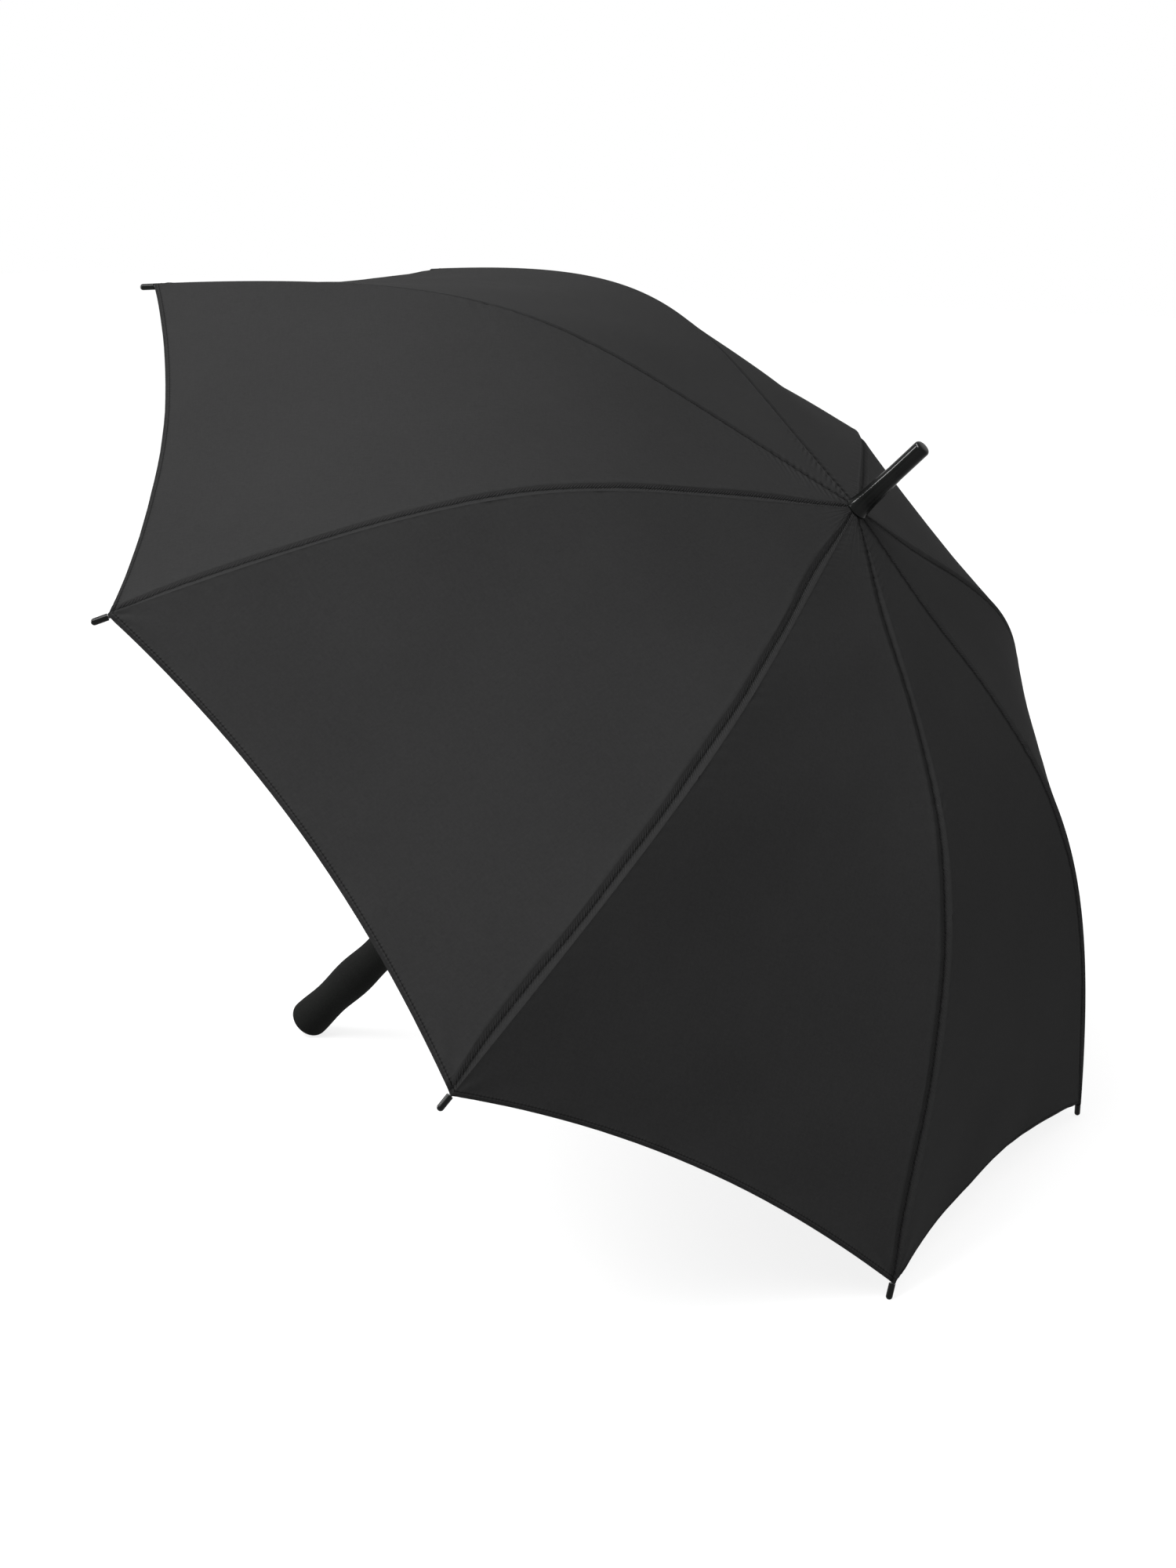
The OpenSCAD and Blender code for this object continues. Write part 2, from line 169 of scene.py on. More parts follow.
def seam_offset(s):
    """Distance of the seam's stitches from the rib's ridge, at an arc length."""
    drift = 0.55 * np.sin(s / 47) + 0.35 * np.sin(s / 19 + 1)
    return (2.6 + (4.2 + drift) * smooth(15, 110, s)
            - (3.4 + drift) * smooth(RIB_ARC - 60, RIB_ARC - 4, s))


# Depths of the cloth's relief, in millimetres
SLACK, LONG_FOLDS, CROWN_FOLDS, TIP_FOLDS = 0.8, 0.10, 0.20, 0.8
SEAM_VALLEY, RIDGE_FALL, ALLOWANCE = 0.17, 0.45, 0.22
TOP_PUCKERS, SIDE_PUCKERS, WIDE_PUCKERS = 0.75, 0.30, 0.20
TIE_DIP, TIE_FOLDS = 0.8, 0.35
HEM_STEP, HEM_STITCH_DIP, HEM_ROLL, HEM_WAVES = 0.4, 0.4, 1.5, 0.42
HEM_STITCHES = 4.4                           # their distance from the hem


def relief(k, v, t):
    """Height of the cloth over its plain curved shape, in millimetres, outward."""
    r = curve(t)[..., 0]
    width = half_width(t)
    s = arc_at(t)
    off = (1 - np.abs(v)) * width            # distance from the ridge over the rib
    flat = v * width
    rib = np.where(v < 0, k, k % 8 + 1)
    near = smooth(0.0, 0.3, np.abs(v))       # seam details fade out at mid-panel
    to_hem = hem_arc(v) - s
    # Broad slack, and long faint folds from crown to hem
    body = (1 - v * v) * smooth(25, 160, s)
    h = SLACK * body * waves(flat, s, 40 + k, 7, 110, 260)
    h += LONG_FOLDS * body * waves(flat, s, 60 + k, 9, 30, 70, stretch=5.0)
    # Folds that gather into the crown
    gather = np.exp(-np.maximum(r - 12, 0) / 24) * smooth(8.3, 16, r)
    folds = (np.sin(7 * math.pi * v + k) + 0.8 * np.sin(12 * math.pi * v + 2.1 * k)
             + 0.6 * np.sin(19 * math.pi * v + 0.7 * k))
    h += CROWN_FOLDS * gather * folds * (1 - v ** 4)
    for q in range(1, 9):
        m = rib == q
        if not m.any():
            continue
        sm, om = s[m], off[m]
        seam_side = v[m] > 0                 # the seam lies on this side of the rib
        sew = seam_offset(sm)
        rise = 1 - np.exp(-om / 1.3)
        # A valley along the stitches, and cloth that turns down beside the ridge
        valley = np.where(om < sew, smooth(0, 1, om / sew),
                          1 - smooth(0, 1, (om - sew) / (1.25 * sew)))
        bit = np.where(seam_side, -(SEAM_VALLEY * sew) * valley ** 1.3,
                       -RIDGE_FALL * rise * np.exp(-om / 4.5))
        # The edge of the seam allowance under the cloth
        bit += np.where(seam_side, ALLOWANCE * smooth(sew * 1.7, sew * 1.95, om)
                        * (1 - smooth(sew * 2.1, sew * 2.6, om)), 0)
        # Puckers along the seam, strongest near the crown on the top seams
        strong = TOP_PUCKERS if q in (1, 8) else SIDE_PUCKERS
        wander = 2.2 * np.sin(sm / 31 + q) + 1.3 * np.sin(sm / 13.7 + 2.3 * q)
        reach = np.abs(om - np.where(seam_side, sew, 0))
        slant = np.where(seam_side, -0.55, 0.55) * om
        crowd = smooth(150, 40, sm)
        fine = np.sin(2 * math.pi * (sm + slant + wander) / 7.6)
        wide = np.sin(2 * math.pi * (sm + slant + 2 * wander) / 17 + q)
        bit += rise * np.exp(-reach / 7) * (strong * crowd * fine + WIDE_PUCKERS * wide)
        # The cloth is tied to the rib at the joiner and at the bend
        for tie in (arc_at(JOINER_AT), arc_at(BEND_AT)):
            ds = sm - tie - 3 * np.sin(2.0 * q)
            bit -= TIE_DIP * rise * np.exp(-(ds / 7) ** 2 - om / 9)
            bit += TIE_FOLDS * rise * np.exp(-np.abs(ds) / 12 - om / 12) * np.sin(
                ds / 2.6 + np.where(seam_side, -1, 1) * om / 5 + q)
        # Folds that run into the rib tip
        ds = RIB_ARC - sm
        reach = np.hypot(ds, om)
        fan = np.arctan2(om, np.maximum(ds, 0.01))
        bit += (TIP_FOLDS * np.sin(fan * 8 + q + np.where(seam_side, 2, 0))
                * np.exp(-reach / 26) * smooth(2, 12, reach) * rise)
        h[m] += near[m] * bit
    # Hem: a double thickness, its row of stitches, its rolled edge and slight waves
    h += HEM_STEP * (1 - smooth(4.8, 5.8, to_hem)) * smooth(0, 2.5, off)
    h -= HEM_STITCH_DIP * np.exp(-((to_hem - HEM_STITCHES) / 0.6) ** 2) * smooth(0, 6, off)
    h -= HEM_ROLL * smooth(3.2, 0, to_hem) ** 1.5 * smooth(0, 8, off)
    ripple = np.sin(2 * math.pi * (flat + 5 * np.sin(flat / 37 + k)) / 19) * (1 - v ** 8)
    ripple += 0.5 * np.sin(2 * math.pi * (flat + 3 * np.sin(flat / 23 + k)) / 8.3)
    h += HEM_WAVES * ripple * np.exp(-np.maximum(to_hem, 0) / 8) * smooth(0, 12, off)
    # The ferrule's base presses the cloth flat
    return h * smooth(9, 15, r)


def cloth(k, v, t):
    """Points of panel k's outer face, across it at v = -1 to 1 and down it at t."""
    v, t = np.broadcast_arrays(np.asarray(v, float), np.asarray(t, float))
    p, a = curve(t), along(t)
    inward = np.stack([a[..., 1], -a[..., 0]], -1)
    down = PANEL_SAG * t * (1 - v * v) - relief(k, v, t)
    x = p[..., 0] * math.cos(HALF) + down * inward[..., 0]
    y = v * half_width(t)
    z = p[..., 1] + down * inward[..., 1]
    mid = FIRST_RIB + (k - 0.5) * 2 * HALF
    return np.stack([x * math.cos(mid) - y * math.sin(mid),
                     x * math.sin(mid) + y * math.cos(mid), z], -1)


def cloth_normal(k, v, t):
    """Outward directions of the cloth, from its own slopes."""
    e_t, e_v = 0.0006, 0.35 / half_width(t)
    v0, v1 = np.clip(v - e_v, -1, 1), np.clip(v + e_v, -1, 1)
    across = cloth(k, v1, t) - cloth(k, v0, t)
    down = cloth(k, v, t + e_t) - cloth(k, v, np.maximum(t - e_t, 0))
    n = np.cross(down, across)
    return n / np.linalg.norm(n, axis=-1, keepdims=True)


# ------------------------------------------------------------------ mesh making


def new_object(name, verts, faces, material, normals=None, uv=None):
    """A mesh piece from points in the row frame. normals, and uv's named pairs of
    coordinates, are given per vertex."""
    mesh = bpy.data.meshes.new(name)
    verts = np.asarray(verts, float)
    mesh.from_pydata(verts.tolist(), [], [list(map(int, f)) for f in faces])
    mesh.materials.append(material)
    mesh.polygons.foreach_set("use_smooth", [True] * len(mesh.polygons))
    corner = np.empty(len(mesh.loops), np.int32)
    mesh.loops.foreach_get("vertex_index", corner)
    for layer_name, pairs in (uv or {}).items():
        layer = mesh.uv_layers.new(name=layer_name)
        layer.data.foreach_set("uv", np.asarray(pairs, np.float32)[corner].ravel())
    mesh.validate()
    if normals is not None:
        mesh.normals_split_custom_set_from_vertices(np.asarray(normals, float).tolist())
    mesh.update()
    made = bpy.data.objects.new(name, mesh)
    scene.collection.objects.link(made)
    return made


def lattice(rows, columns, start=0):
    """Quads of a grid of points, rows by columns, numbered from start."""
    i, j = np.meshgrid(np.arange(rows - 1), np.arange(columns - 1), indexing="ij")
    a = (start + i * columns + j).ravel()
    return np.stack([a, a + columns, a + columns + 1, a + 1], 1)


# ------------------------------------------------------------------ the canopy

CLOTH_T, HEM_EXTRA, TUCK_T, TUCK_GAP = 0.35, 0.75, 0.15, 0.12
BEND_ARC = float(arc_at(BEND_AT))
# Columns: these distances from the seam, then 12 more out to mid-panel
FINE = np.array([0, 0.6, 1.4, 2.4, 3.6, 4.8, 5.8, 6.8, 7.8, 9.2, 11.0, 13.2, 16.0, 20.0])
WIDE_COLUMNS = 12
COLUMNS = len(FINE) + WIDE_COLUMNS
HEM_ROWS = 112
TUCK = np.array([0.4, 1.5, 4.0, 7.5, 11.0])  # how far the strip's rows pass the bend
FAR = 900.0                                  # "past the stitches" where there are none


def column_places(width):
    """Distances from the seam to mid-panel: fine beside the seam, then wider."""
    width = np.asarray(width, float)[:, None]
    fine = FINE[None] * np.minimum(1, width / 46)
    share = np.linspace(0, 1, WIDE_COLUMNS + 1)[1:][None] ** 1.15
    return np.concatenate([fine, fine[:, -1:] + (width - fine[:, -1:]) * share], 1)


def cloth_places(v, t):
    """Where a point lies on the flat cloth: across, down, past the stitches, up from the hem."""
    width, s = half_width(t), arc_at(t)
    past = np.where(v > 0, (1 - v) * width - seam_offset(s), FAR)
    return np.stack([v * width, s, past, hem_arc(v) - s], -1)


def inner_grid(side):
    """Places v and t of half a panel's points above the bend."""
    arcs = np.concatenate([np.arange(0, 90, 1.7), np.arange(90, BEND_ARC - 1, 3.1), [BEND_ARC]])
    width = half_width(t_at(arcs))
    return (side * (1 - column_places(width) / width[:, None]),
            np.repeat(t_at(arcs)[:, None], COLUMNS, 1))


def outer_grid(side):
    """The same from the bend to the scalloped hem, with rows closer together near the hem."""
    share = 1 - (1 - np.linspace(0, 1, HEM_ROWS)[:, None]) ** 1.12
    t = np.repeat(np.linspace(BEND_AT, 1, HEM_ROWS)[:, None], COLUMNS, 1)
    for _ in range(3):
        width = half_width(t)
        off = np.stack([column_places(width[:, j])[:, j] for j in range(COLUMNS)], 1)
        v = side * (1 - off / width)
        t = t_at(BEND_ARC + (hem_arc(v) - BEND_ARC) * share)
    return v, t


def tuck_strip(k, v):
    """A strip that passes under the lower half, so that no gap opens as the rib bends: its
    outer and inner face, its directions and its places on the flat cloth."""
    v = np.repeat(v, len(TUCK), 0)
    reach = TUCK[:, None] * (0.15 + 0.85 * (1 - np.abs(v)))
    reach = np.maximum(reach, 0.3 * np.arange(1, len(TUCK) + 1)[:, None])
    t = t_at(BEND_ARC + reach)
    normal = cloth_normal(k, v, t)
    top = cloth(k, v, t) - normal * (CLOTH_T + TUCK_GAP)
    return top, top - TUCK_T * normal, normal, cloth_places(v, t)


def hem_edge(outer, inner):
    """Points and directions of the hem's rounded edge, between both faces' last rows."""
    middle, half = (outer[-1] + inner[-1]) / 2, (outer[-1] - inner[-1]) / 2
    out = outer[-1] - outer[-2]
    out /= np.linalg.norm(out, axis=-1, keepdims=True)
    radius = np.linalg.norm(half, axis=-1, keepdims=True)
    spokes = np.stack([half * math.cos(a) + out * radius * math.sin(a)
                       for a in np.radians([0, 45, 90, 135, 180])])
    return middle + spokes, spokes / np.linalg.norm(spokes, axis=-1, keepdims=True)


def weld(faces, verts, pairs):
    """Faces with each pair's first row of vertices merged into its second, and the
    vertices that are left."""
    remap = np.arange(len(verts))
    for old, new in pairs:
        remap[old] = new
    faces = remap[faces]
    kept = np.unique(faces)
    fresh = np.full(len(verts), -1)
    fresh[kept] = np.arange(len(kept))
    return fresh[faces], kept


def half_panel(k, side, part, material):
    """Half of panel k, beside the rib on its left (side -1) or right (side 1), and
    above the ribs' bend (part "inner") or below it ("outer")."""
    v, t = outer_grid(side) if part == "outer" else inner_grid(side)
    v = np.clip(v, min(0, side), max(0, side))
    outer, normal, flat = cloth(k, v, t), cloth_normal(k, v, t), cloth_places(v, t)
    thick = np.full(t.shape, CLOTH_T)
    if part == "outer":
        to_hem = hem_arc(v) - arc_at(t)
        from_corner = (1 - np.abs(v)) * 200
        thick += HEM_EXTRA * (1 - smooth(4.6, 5.6, to_hem)) * smooth(0, 2.5, from_corner)
    inner = outer - thick[..., None] * normal
    if part == "inner":
        strip = tuck_strip(k, v[-1:])
        outer, inner, normal, flat = (
            np.concatenate(pair) for pair in zip((outer, inner, normal, flat), strip))
    rows = len(outer)
    face_size = rows * COLUMNS
    blocks = [(outer, normal, flat)]
    faces = [lattice(rows, COLUMNS)]
    if part == "outer":
        edge, edge_normal = hem_edge(outer, inner)
        blocks.append((edge, edge_normal, np.repeat(flat[-1:], len(edge), 0)))
        faces.append(lattice(len(edge), COLUMNS, face_size))
    blocks.append((inner, -normal, flat))
    verts, norms, places = (np.concatenate([b.reshape(-1, b.shape[-1]) for b in kind])
                            for kind in zip(*blocks))
    start = len(verts) - face_size
    faces.append(lattice(rows, COLUMNS, start)[:, ::-1])
    # Narrow walls along the other edges
    o = np.arange(face_size).reshape(rows, COLUMNS)
    i = o + start
    walls = [(o[:, 0], i[:, 0], 1), (o[:, -1], i[:, -1], 0), (o[0], i[0], 0)]
    if part == "inner":
        walls.append((o[-1], i[-1], 1))
    for a, b, flip in walls:
        quad = np.stack([a[:-1], a[1:], b[1:], b[:-1]], 1)
        faces.append(quad[:, ::-1] if flip else quad)
    faces = np.concatenate(faces)
    if side > 0:
        faces = faces[:, ::-1]
    if part == "outer":
        edge_rows = np.arange(face_size, start).reshape(-1, COLUMNS)
        faces, kept = weld(faces, verts, [(edge_rows[0], o[-1]), (edge_rows[-1], i[-1])])
        verts, norms, places = verts[kept], norms[kept], places[kept]
    name = f"canopy_{k}_{'left' if side < 0 else 'right'}_{part}"
    places = places / 1000
    return new_object(name, to_row(verts), faces, material, normals=turn_to_row(norms),
                      uv={"cloth": places[:, :2], "edges": places[:, 2:]})


CHORD_START = 0.06                           # leaves out the flat crown


def fold_with_rib(piece, part):
    """Gives the half panel a mesh of its own; the chord of its span along the rib is worked out but not used."""
    ends = (CHORD_START, BEND_AT) if part == "inner" else (BEND_AT, 1.0)
    chord = curve(ends[1]) - curve(ends[0])
    chord = chord / np.linalg.norm(chord)
    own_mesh(piece)


# ------------------------------------------------------------------ materials


class Nodes:
    """Small helper for building a procedural material."""

    def __init__(self, name, **values):
        self.material = bpy.data.materials.new(name)
        self.material.use_nodes = True
        self.tree = self.material.node_tree
        self.shader = self.tree.nodes["Principled BSDF"]
        for key, value in values.items():
            self.shader.inputs[key.replace("_", " ")].default_value = value

    def add(self, kind, links=(), **settings):
        """A node with links into its sockets, in_ values on them, and other settings."""
        node = self.tree.nodes.new(kind)
        for key, value in settings.items():
            if key.startswith("in_"):
                node.inputs[key[3:].replace("_", " ")].default_value = value
            else:
                setattr(node, key, value)
        for socket, source in dict(links).items():
            self.tree.links.new(source, node.inputs[socket])
        return node

    def math(self, operation, a, b=None, c=None):
        node = self.tree.nodes.new("ShaderNodeMath")
        node.operation = operation
        for index, value in enumerate((a, b, c)):
            if value is None:
                continue
            if isinstance(value, (int, float)):
                node.inputs[index].default_value = value
            else:
                self.tree.links.new(value, node.inputs[index])
        return node.outputs[0]

    def link(self, source, socket):
        self.tree.links.new(source, self.shader.inputs[socket])

    def place(self):
        return self.add("ShaderNodeTexCoord").outputs["Object"]

    def noise(self, scale, detail=3, vector=None, roughness=0.5):
        node = self.add("ShaderNodeTexNoise", {"Vector": vector or self.place()},
                        in_Scale=scale, in_Detail=detail, in_Roughness=roughness)
        return node.outputs["Fac"]

    def between(self, factor, low, high):
        """factor from 0 to 1, as a value from low to high."""
        node = self.add("ShaderNodeMapRange", {"Value": factor})
        node.inputs["To Min"].default_value = low
        node.inputs["To Max"].default_value = high
        return node.outputs["Result"]

    def tint(self, factor, low, high):
        node = self.add("ShaderNodeMix", {0: factor}, data_type="RGBA")
        node.inputs[6].default_value = (*low, 1)
        node.inputs[7].default_value = (*high, 1)
        return node.outputs[2]

    def band(self, place, width):
        """1 where place is zero, falling off smoothly over width on both sides."""
        share = self.math("DIVIDE", place, width)
        square = self.math("MULTIPLY", share, share)
        return self.math("EXPONENT", self.math("MULTIPLY", square, -1))

    def step_down(self, place, edge, blur):
        """1 where place is less than edge, falling to 0 over blur."""
        share = self.math("DIVIDE", self.math("SUBTRACT", edge, place), blur)
        return self.math("MINIMUM", self.math("MAXIMUM", share, 0), 1)

    def bump(self, height, distance, strength=1.0, before=None):
        node = self.add("ShaderNodeBump", {"Height": height}, in_Distance=distance,
                        in_Strength=strength)
        if before is not None:
            self.tree.links.new(before, node.inputs["Normal"])
        return node.outputs["Normal"]


CLOTH_DARK, CLOTH_LIGHT = (0.0118, 0.0118, 0.0119), (0.0190, 0.0190, 0.0191)
# Colour of the painted shadow along the stitches and of the painted shade past the seams and at the hem
SHADOW = (0.002, 0.002, 0.002, 1)
# In metres, as the cloth's coordinates are
YARN_PITCH, RUCHE_PITCH, HEM_RUCHE_PITCH, TICK_PITCH = 0.00042, 0.0031, 0.0034, 0.0046
# Widths of the bands of painted shade past the seam and at the hem
SEAM_SHADE_WIDTH, HEM_SHADE_WIDTH = 0.0062, 0.0030


def cloth_material():
    """Fine plain-woven polyester, with slubs, faint marks from folding, and the fine
    ruching that sewing leaves beside the seams and along the hem. A thin painted shadow
    runs along the stitches, and bands of painted shade lie past the seams and at the hem."""
    m = Nodes("canopy_cloth", Roughness=0.6, Specular_IOR_Level=0.003, IOR=1.45)
    uv = m.add("ShaderNodeUVMap", uv_map="cloth").outputs["UV"]
    split = m.add("ShaderNodeSeparateXYZ", {"Vector": uv})
    x, y = split.outputs["X"], split.outputs["Y"]
    edges = m.add("ShaderNodeUVMap", uv_map="edges").outputs["UV"]
    split = m.add("ShaderNodeSeparateXYZ", {"Vector": edges})
    past, to_hem = split.outputs["X"], split.outputs["Y"]
    # Warp and weft threads, one over the other in turn
    turn = 2 * math.pi / YARN_PITCH
    warp = m.math("SINE", m.math("MULTIPLY", x, turn))
    weft = m.math("SINE", m.math("MULTIPLY", y, turn))
    weave = m.math("MULTIPLY_ADD", m.math("MULTIPLY", warp, weft), 0.5, 0.5)
    # Slubs, long along either thread
    long_x = m.add("ShaderNodeMapping", {"Vector": uv})
    long_x.inputs["Scale"].default_value = (60, 1400, 1)
    long_y = m.add("ShaderNodeMapping", {"Vector": uv})
    long_y.inputs["Scale"].default_value = (1400, 60, 1)
    slub = m.math("ADD", m.noise(1, 2, long_x.outputs[0]), m.noise(1, 2, long_y.outputs[0]))
    mottle = m.noise(9, 4)
    grain = m.noise(420, 3)
    # Short slanted puckers across the stitches, every 3 mm or so
    from_stitches = m.math("SUBTRACT", to_hem, HEM_STITCHES / 1000)
    seam_band = m.band(past, 0.0032)
    wobble = m.math("MULTIPLY", m.noise(160, 2), 0.004)
    run = m.math("ADD", m.math("MULTIPLY_ADD", past, 0.8, y), wobble)
    ruche = m.math("SINE", m.math("MULTIPLY", run, 2 * math.pi / RUCHE_PITCH))
    ruche = m.math("MULTIPLY", ruche, seam_band)
    hem_band = m.band(from_stitches, 0.0016)
    hem_run = m.math("MULTIPLY", m.math("ADD", x, wobble), 2 * math.pi / HEM_RUCHE_PITCH)
    hem_ruche = m.math("MULTIPLY", m.math("SINE", hem_run), hem_band)
    shade = m.math("ADD", m.math("MULTIPLY", slub, 0.28),
                   m.math("ADD", m.math("MULTIPLY", mottle, 0.3), m.math("MULTIPLY", grain, 0.42)))
    # A thin dark dashed line along the stitches is painted shadow of the thread and its needle
    #     holes. The darker bands past the seam, where the cloth is doubled, and at the rolled hem are painted
    #     shade
    ticks = m.math("MULTIPLY", m.math("ADD", y, past), 2 * math.pi / TICK_PITCH)
    ticks = m.math("MULTIPLY_ADD", m.math("SINE", ticks), 0.45, 0.75)
    line = m.math("ADD", m.math("MULTIPLY", m.band(past, 0.0009), ticks),
                  m.band(from_stitches, 0.0005))
    # Painted shade: darker bands from the stitches out past the seam and along the rolled hem
    band_shade = m.math("MULTIPLY", m.math("GREATER_THAN", past, 0),
                     m.step_down(past, SEAM_SHADE_WIDTH, 0.0005))
    band_shade = m.math("ADD", band_shade, m.step_down(to_hem, HEM_SHADE_WIDTH, 0.0004))
    dark = m.math("MULTIPLY_ADD", line, 0.62, m.math("MULTIPLY", band_shade, 0.24))
    cloth = m.tint(m.between(shade, -0.35, 1.15), CLOTH_DARK, CLOTH_LIGHT)
    shadow = m.add("ShaderNodeMix", {0: dark, 6: cloth}, data_type="RGBA")
    shadow.inputs[7].default_value = SHADOW
    m.link(shadow.outputs[2], "Base Color")
    m.link(m.between(m.math("ADD", m.math("MULTIPLY", mottle, 0.6), m.math("MULTIPLY", slub, 0.2)),
                     0.52, 0.74), "Roughness")
    bump = m.bump(weave, 0.00005, 0.5)
    bump = m.bump(slub, 0.00008, 0.35, bump)
    bump = m.bump(m.noise(70, 4), 0.0004, 0.22, bump)
    m.link(m.bump(m.math("ADD", ruche, m.math("MULTIPLY", hem_ruche, 0.6)), 0.00045, 1.0, bump),
           "Normal")
    return m.material


def thread_material():
    """Dull black sewing thread."""
    m = Nodes("thread", Roughness=0.7, Specular_IOR_Level=0.03)
    ply = m.noise(2600, 2)
    m.link(m.tint(ply, (0.005, 0.005, 0.005), (0.011, 0.011, 0.011)), "Base Color")
    m.link(m.between(ply, 0.6, 0.85), "Roughness")
    m.link(m.bump(ply, 0.0001, 0.5), "Normal")
    return m.material


def gloss_material():
    """Polished black plastic with a slight orange peel and fine scuffs."""
    m = Nodes("gloss_plastic", Roughness=0.14, Specular_IOR_Level=0.09, IOR=1.5)
    peel, scuff = m.noise(260, 2), m.noise(1900, 5, roughness=0.7)
    m.link(m.tint(m.noise(40, 3), (0.0016, 0.0018, 0.0017), (0.0034, 0.0037, 0.0035)), "Base Color")
    m.link(m.between(m.math("ADD", m.math("MULTIPLY", peel, 0.5), m.math("MULTIPLY", scuff, 0.5)),
                     0.10, 0.22), "Roughness")
    m.link(m.bump(peel, 0.00012, 0.25, m.bump(scuff, 0.00002, 0.2)), "Normal")
    return m.material


def foam_material():
    """Closed-cell foam: a dull skin broken by fine pores, with painted shade in the pores."""
    m = Nodes("grip_foam", Roughness=0.9, Specular_IOR_Level=0.03)
    cells = m.add("ShaderNodeTexVoronoi", {"Vector": m.place()}, feature="F1", in_Scale=1050.0,
                  in_Randomness=1.0).outputs["Distance"]
    fine = m.noise(1700, 3)
    pits = m.math("ADD", m.math("MULTIPLY", cells, 0.7), m.math("MULTIPLY", fine, 0.5))
    # Colour: painted shade darkens the pores, and a fine random speckle is added over it
    m.link(m.tint(m.between(pits, -0.2, 1.3), (0.0014, 0.0015, 0.0014), (0.0068, 0.0071, 0.0067)),
           "Base Color")
    m.link(m.between(fine, 0.78, 0.97), "Roughness")
    m.link(m.bump(pits, 0.0005, 0.75, m.bump(m.noise(120, 3), 0.0006, 0.3)), "Normal")
    return m.material


def moulded_material():
    """Moulded nylon with a fine texture."""
    m = Nodes("moulded_plastic", Roughness=0.5, Specular_IOR_Level=0.4)
    grain = m.noise(1500, 3)
    m.link(m.tint(m.noise(60, 3), (0.009, 0.009, 0.0095), (0.016, 0.016, 0.0165)), "Base Color")
    m.link(m.between(grain, 0.42, 0.62), "Roughness")
    m.link(m.bump(grain, 0.00008, 0.5), "Normal")
    return m.material


def fibreglass_material():
    """Pultruded black rod: long fine streaks under a satin skin."""
    m = Nodes("fibreglass", Roughness=0.38, Specular_IOR_Level=0.5)
    streak, pits = m.noise(900, 4, roughness=0.65), m.noise(90, 3)
    m.link(m.tint(streak, (0.011, 0.011, 0.011), (0.024, 0.024, 0.025)), "Base Color")
    m.link(m.between(pits, 0.3, 0.5), "Roughness")
    m.link(m.bump(streak, 0.00006, 0.4), "Normal")
    return m.material


def paint_material():
    """Black powder coat over steel."""
    m = Nodes("shaft_paint", Roughness=0.4, Specular_IOR_Level=0.5, Coat_Weight=0.25,
              Coat_Roughness=0.25)
    peel = m.noise(700, 3)
    m.link(m.tint(m.noise(35, 4), (0.014, 0.014, 0.015), (0.022, 0.022, 0.023)), "Base Color")
    m.link(m.between(peel, 0.32, 0.5), "Roughness")
    m.link(m.bump(peel, 0.0001, 0.35), "Normal")
    return m.material


def steel_material():
    """Drawn wire and stamped spring steel."""
    m = Nodes("steel", Roughness=0.3, Metallic=1.0)
    draw, dull = m.noise(2200, 4, roughness=0.7), m.noise(160, 3)
    m.link(m.tint(dull, (0.42, 0.42, 0.43), (0.60, 0.60, 0.61)), "Base Color")
    m.link(m.between(draw, 0.22, 0.42), "Roughness")
    m.link(m.bump(draw, 0.00004, 0.4), "Normal")
    return m.material


def floor_material():
    """A white studio floor that glows a little, as a lit acrylic table does."""
    m = Nodes("floor", Roughness=0.9, Specular_IOR_Level=0.05, Emission_Color=(1, 1, 1, 1),
              Emission_Strength=0.81)
    m.link(m.tint(m.noise(3, 3), (0.19, 0.19, 0.19), (0.21, 0.21, 0.21)), "Base Color")
    return m.material


CLOTH, THREAD, GLOSS, FOAM = cloth_material(), thread_material(), gloss_material(), foam_material()
MOULDED, RODS, PAINT, STEEL = (moulded_material(), fibreglass_material(), paint_material(),
                               steel_material())

# ------------------------------------------------------------------ the CAD nodes that show

finishes = {"black_plastic": MOULDED, "fibreglass": RODS, "shaft_paint": PAINT, "steel": STEEL,
            "gloss_black": GLOSS, "foam": FOAM, "cloth": CLOTH}
for part in frame["record"]["subparts"]:
    node, finish = frame["nodes"][part["node"]], finishes[part["material_slot"]]
    if not node.material_slots:
        node.data.materials.append(finish)
    for slot in node.material_slots:
        slot.material = finish

# ------------------------------------------------------------------ canopy pieces


SPANS = {"inner": (0.0, BEND_AT), "outer": (BEND_AT, 1.0)}
for k in range(1, 9):
    for side in (-1, 1):
        rib = k if side < 0 else k % 8 + 1
        for part in SPANS:
            piece = half_panel(k, side, part, CLOTH)
            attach(piece, f"rib_group_{rib}" if part == "inner" else f"rib_end_group_{rib}")
            fold_with_rib(piece, part)
            if part == "inner":
                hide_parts(f"canopy_panel_{k}")


STITCH_PITCH, STITCH_LENGTH, STITCH_R = 3.1, 2.2, 0.32
STITCH_RINGS = ((-0.5, 0.35), (-0.25, 1.0), (0.25, 1.0), (0.5, 0.35))   # place, thickness
STITCH_CORNERS = np.radians([30, 90, 150, 270])


def stitches(name, points, ahead, up, body):
    """A row of short stitches at points, in the umbrella's frame."""
    verts, faces = [], []
    for p, a, n in zip(points, ahead, up):
        b = np.cross(a, n)
        start = len(verts)
        for along_it, thickness in STITCH_RINGS:
            for c in STITCH_CORNERS:
                spoke = (b * math.cos(c) + n * math.sin(c)) * STITCH_R * thickness
                verts.append(p + a * STITCH_LENGTH * along_it + spoke)
        for i in range(3):
            for j in range(4):
                q, r = start + 4 * i + j, start + 4 * i + (j + 1) % 4
                faces.append([q, r, r + 4, q + 4])
        faces += [[start + i for i in (3, 2, 1, 0)], [start + i for i in (12, 13, 14, 15)]]
    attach(new_object(name, to_row(np.array(verts)), faces, THREAD), body)


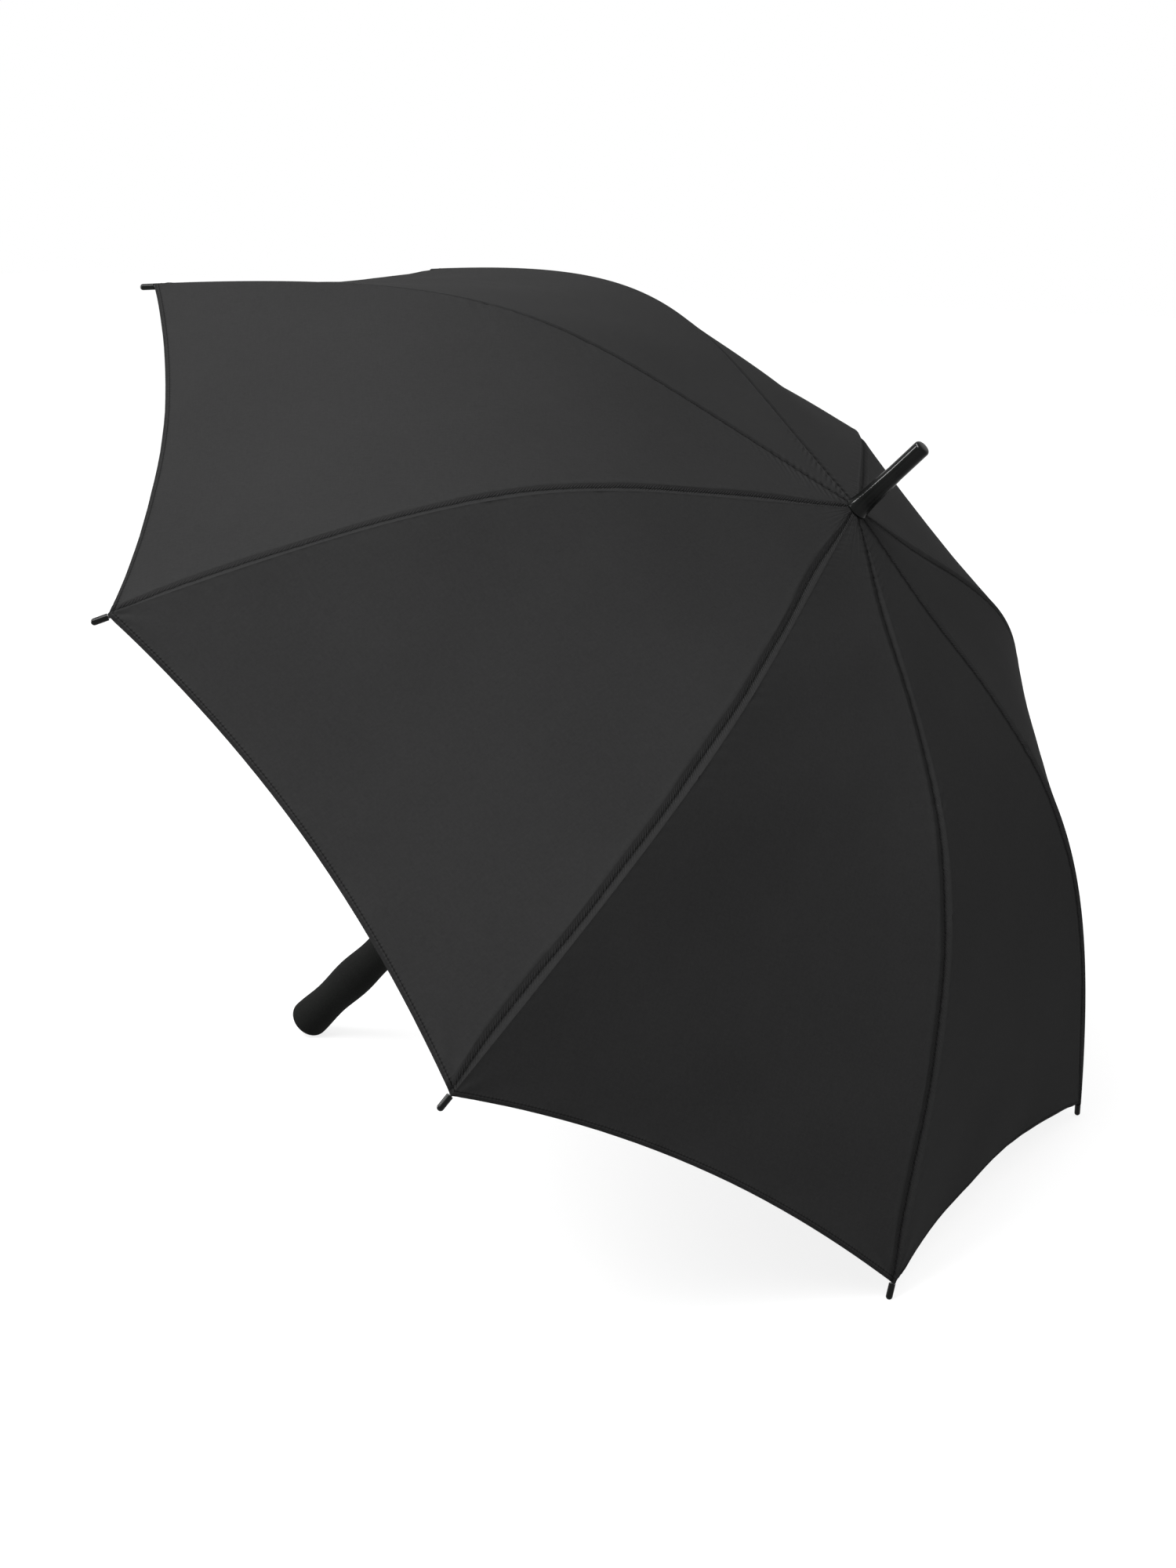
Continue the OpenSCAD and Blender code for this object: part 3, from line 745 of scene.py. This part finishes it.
for k in range(1, 9):
    panel = (k - 2) % 8 + 1                 # the stitches run on the panel before the rib
    for part, body in (("inner", f"rib_group_{k}"), ("outer", f"rib_end_group_{k}")):
        t0, t1 = SPANS[part]
        first = 9 if part == "inner" else 1.5
        arcs = np.arange(arc_at(t0) + first, arc_at(t1) - 3, STITCH_PITCH)
        t = t_at(arcs)
        v = 1 - seam_offset(arcs) / half_width(t)
        on = cloth(panel, v, t)
        n = cloth_normal(panel, v, t)
        ahead = cloth(panel, v, t_at(arcs + 1)) - cloth(panel, v, t_at(arcs - 1))
        ahead /= np.linalg.norm(ahead, axis=1, keepdims=True)
        stitches(f"seam_stitches_{k}_{part}", on + n * 0.02, ahead, n, body)

# ------------------------------------------------------------------ turned pieces


def turned(name, outline, material, sides=96):
    """A piece turned about the shaft from [radius, height] points, bottom to top."""
    outline = np.asarray(outline, float)
    a = np.linspace(0, 2 * math.pi, sides, endpoint=False)
    verts = np.concatenate([np.stack([r * np.cos(a), r * np.sin(a), np.full(sides, z)], 1)
                            for r, z in outline])
    faces = []
    for row in range(0, (len(outline) - 1) * sides, sides):
        for j in range(sides):
            n = (j + 1) % sides
            faces.append([row + j, row + n, row + sides + n, row + sides + j])
    faces.append(list(range(sides - 1, -1, -1)))
    faces.append(list(range((len(outline) - 1) * sides, len(outline) * sides)))
    return new_object(name, to_row(verts), faces, material)


def arc_points(cx, cz, r, a0, a1, n):
    """n points of an arc of radius r about [cx, cz], from a0 to a1 degrees."""
    return [[cx + r * math.cos(math.radians(a)), cz + r * math.sin(math.radians(a))]
            for a in np.linspace(a0, a1, n)]


# Grip: foam sleeve with shallow waves and a rounded end
GRIP_LOW, GRIP_LEN, GRIP_R = -915.0, 180.0, 20.7
GRIP_WAVE, GRIP_WAVE_PITCH = 1.05, 89


def grip_r(s):
    """The grip's radius at a distance from its lower end."""
    return GRIP_R + GRIP_WAVE * math.cos(2 * math.pi * (s - 9) / GRIP_WAVE_PITCH)


grip_line = ([[0.02, GRIP_LOW + 0.05], [4, GRIP_LOW + 0.1], [8, GRIP_LOW + 0.45]]
             + arc_points(GRIP_R + GRIP_WAVE - 10, GRIP_LOW + 11, 10, -90, 0, 12)
             + [[grip_r(s), GRIP_LOW + s] for s in np.arange(13, GRIP_LEN - 4.5, 1.6)]
             + arc_points(grip_r(GRIP_LEN) - 3.5, GRIP_LOW + GRIP_LEN - 3.5, 3.5, 10, 90, 6)
             + [[11.4, GRIP_LOW + GRIP_LEN], [11.1, GRIP_LOW + GRIP_LEN - 1.2]])
grip = turned("foam_grip", grip_line, FOAM, sides=120)
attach(grip, "shaft_group")
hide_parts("grip")

# Ferrule: a long taper with a short flare and lip at its base and a softly rounded end
FERRULE_R = 8
flare = [[FERRULE_R + 2 * (1 - s) + 1.5 * (1 - s) ** 8, 1.2 + 50.8 * s]
         for s in np.linspace(0, 1, 60) ** 1.5]
ferrule_line = ([[7.05, 0.32], [10.7, 0.32]] + arc_points(10.9, 0.9, 0.58, -90, 20, 6)
                + flare[1:] + [[FERRULE_R, z] for z in np.linspace(56, 85.5, 9)]
                + arc_points(4.6, 86.0, 3.4, 0, 78, 10)
                + [[4.0, 89.5], [2.0, 89.58], [0.02, 89.6]])
ferrule = turned("ferrule_spike", ferrule_line, GLOSS, sides=96)
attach(ferrule, "shaft_group")
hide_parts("ferrule")

# ------------------------------------------------------------------ floor and light

FLOOR = 14                                   # metres from the middle to each side
floor = new_object("floor", [(-FLOOR, -FLOOR, 0), (FLOOR, -FLOOR, 0), (FLOOR, FLOOR, 0),
                             (-FLOOR, FLOOR, 0)], [(0, 1, 2, 3)], floor_material())

world = bpy.data.worlds.new("studio")
world.use_nodes = True
sky = world.node_tree.nodes["Background"]
sky.inputs["Color"].default_value = (1, 1, 1, 1)
sky.inputs["Strength"].default_value = 1.0
scene.world = world


def soft_box(name, place, target, size, power, gloss_only=False):
    """An area light. gloss_only makes it a strip that shows only in polished surfaces."""
    data = bpy.data.lights.new(name, "AREA")
    data.shape, data.size, data.size_y, data.energy = "RECTANGLE", size[0], size[1], power
    light = bpy.data.objects.new(name, data)
    scene.collection.objects.link(light)
    light.location = place
    light.visible_camera = False
    light.visible_diffuse = not gloss_only
    light.rotation_mode = "QUATERNION"
    light.rotation_quaternion = (Vector(target) - Vector(place)).to_track_quat("-Z", "Y")


soft_box("key", (-0.75, -2.13, 3.74), (0.05, 0, 0.45), (2.4, 2.4), 300)
soft_box("left_strip", (-2.4, -1.3, 1.2), (0.1, 0, 0.6), (0.35, 2.6), 170, gloss_only=True)
soft_box("top_strip", (-0.6, -0.6, 2.9), (0.0, 0, 0.5), (3.0, 0.35), 190, gloss_only=True)

scene.view_settings.view_transform = "Standard"
